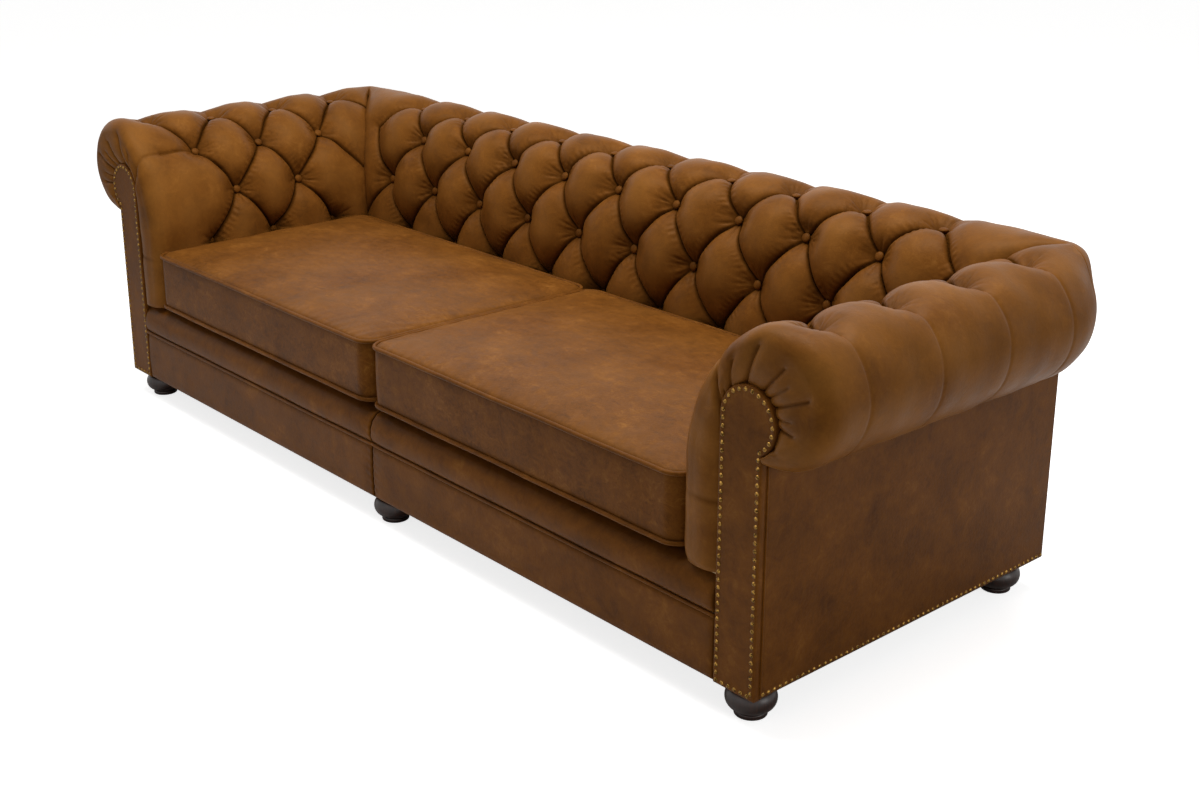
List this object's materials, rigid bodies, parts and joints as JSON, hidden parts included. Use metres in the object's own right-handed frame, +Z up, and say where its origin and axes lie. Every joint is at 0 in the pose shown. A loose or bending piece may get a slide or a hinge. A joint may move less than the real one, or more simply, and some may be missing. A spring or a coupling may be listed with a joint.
{
  "type": "chesterfield sofa",
  "caption": "Long rolled-arm chesterfield sofa in cognac leather with a deep buttoned back, loose seat cushions, nail-trimmed arm facings and turned bun feet.",
  "frame": {"origin": "on the floor under the middle of the sofa's overall box", "axes": "+X to the sofa's right seen from the front, +Y to its back, +Z up"},
  "size_m": [2.686, 0.975, 0.774],
  "materials": {
    "leather": "cognac pull-up leather with a soft waxed sheen",
    "brass_nails": "antiqued brass with dark patina in the recesses",
    "foot_wood": "espresso stained turned hardwood, satin lacquer",
    "frame_wood": "sawn hardwood and plywood",
    "webbing": "woven elastic webbing",
    "felt": "needled felt",
    "black_cloth": "black non-woven cloth",
    "foam": "foam wrapped in wadding",
    "steel": "zinc plated",
    "zip_tape": "brown nylon coil zip on woven tape",
    "zip_brass": "antiqued brass"
  },
  "bodies": {
    "sofa_frame": {"arm_pad_left": "leather", "arm_pad_right": "leather", "back_pad": "leather", "arm_buttons_left": "leather", "arm_buttons_right": "leather", "back_buttons": "leather", "side_panel_left": "leather", "side_panel_right": "leather", "outer_back": "leather", "front_cover": "leather", "front_welt": "leather", "front_band": "leather", "facing_left": "leather", "facing_right": "leather", "facing_nails_left": "brass_nails", "facing_nails_right": "brass_nails", "base_nails_left": "brass_nails", "base_nails_right": "brass_nails", "foot_front_left": "foot_wood", "foot_front_centre": "foot_wood", "foot_front_right": "foot_wood", "foot_back_left": "foot_wood", "foot_back_centre": "foot_wood", "foot_back_right": "foot_wood", "frame_front_rail": "frame_wood", "frame_front_packing": "frame_wood", "frame_back_rail": "frame_wood", "frame_side_rail_right": "frame_wood", "frame_side_rail_left": "frame_wood", "frame_stretchers": "frame_wood", "frame_arm_tack_rail_right": "frame_wood", "frame_arm_tack_rail_left": "frame_wood", "frame_back_tack_rail": "frame_wood", "frame_arm_top_rail_right": "frame_wood", "frame_arm_top_rail_left": "frame_wood", "frame_back_top_rail": "frame_wood", "frame_back_studs": "frame_wood", "frame_arm_front_board_right": "frame_wood", "frame_arm_front_board_left": "frame_wood", "frame_arm_rear_boards": "frame_wood", "frame_back_end_ribs": "frame_wood", "frame_corner_blocks": "frame_wood", "foot_blocks": "frame_wood", "seat_webbing": "webbing", "arm_webbing": "webbing", "back_webbing": "webbing", "deck_pad": "felt", "deck_cloth": "black_cloth", "dust_cover": "black_cloth", "foot_bolts": "steel"},
    "seat_cushion_left": {"cushion_cover_left": "leather", "cushion_core_left": "foam", "cushion_welts_left": "leather", "cushion_zip_left": "zip_tape"},
    "seat_cushion_right": {"cushion_cover_right": "leather", "cushion_core_right": "foam", "cushion_welts_right": "leather", "cushion_zip_right": "zip_tape"},
    "zip_slider_left": {"zip_slider_left": "zip_brass"},
    "zip_slider_right": {"zip_slider_right": "zip_brass"}
  },
  "joints": [
    {"name": "lift_cushion_left", "type": "slide", "parent": "sofa_frame", "child": "seat_cushion_left", "axis": [0, 0, 1], "range_m": [0, 0.45]},
    {"name": "open_zip_left", "type": "slide", "parent": "seat_cushion_left", "child": "zip_slider_left", "axis": [-1, 0, 0], "range_m": [0, 0.815]},
    {"name": "lift_cushion_right", "type": "slide", "parent": "sofa_frame", "child": "seat_cushion_right", "axis": [0, 0, 1], "range_m": [0, 0.45]},
    {"name": "open_zip_right", "type": "slide", "parent": "seat_cushion_right", "child": "zip_slider_right", "axis": [1, 0, 0], "range_m": [0, 0.815]}
  ]
}
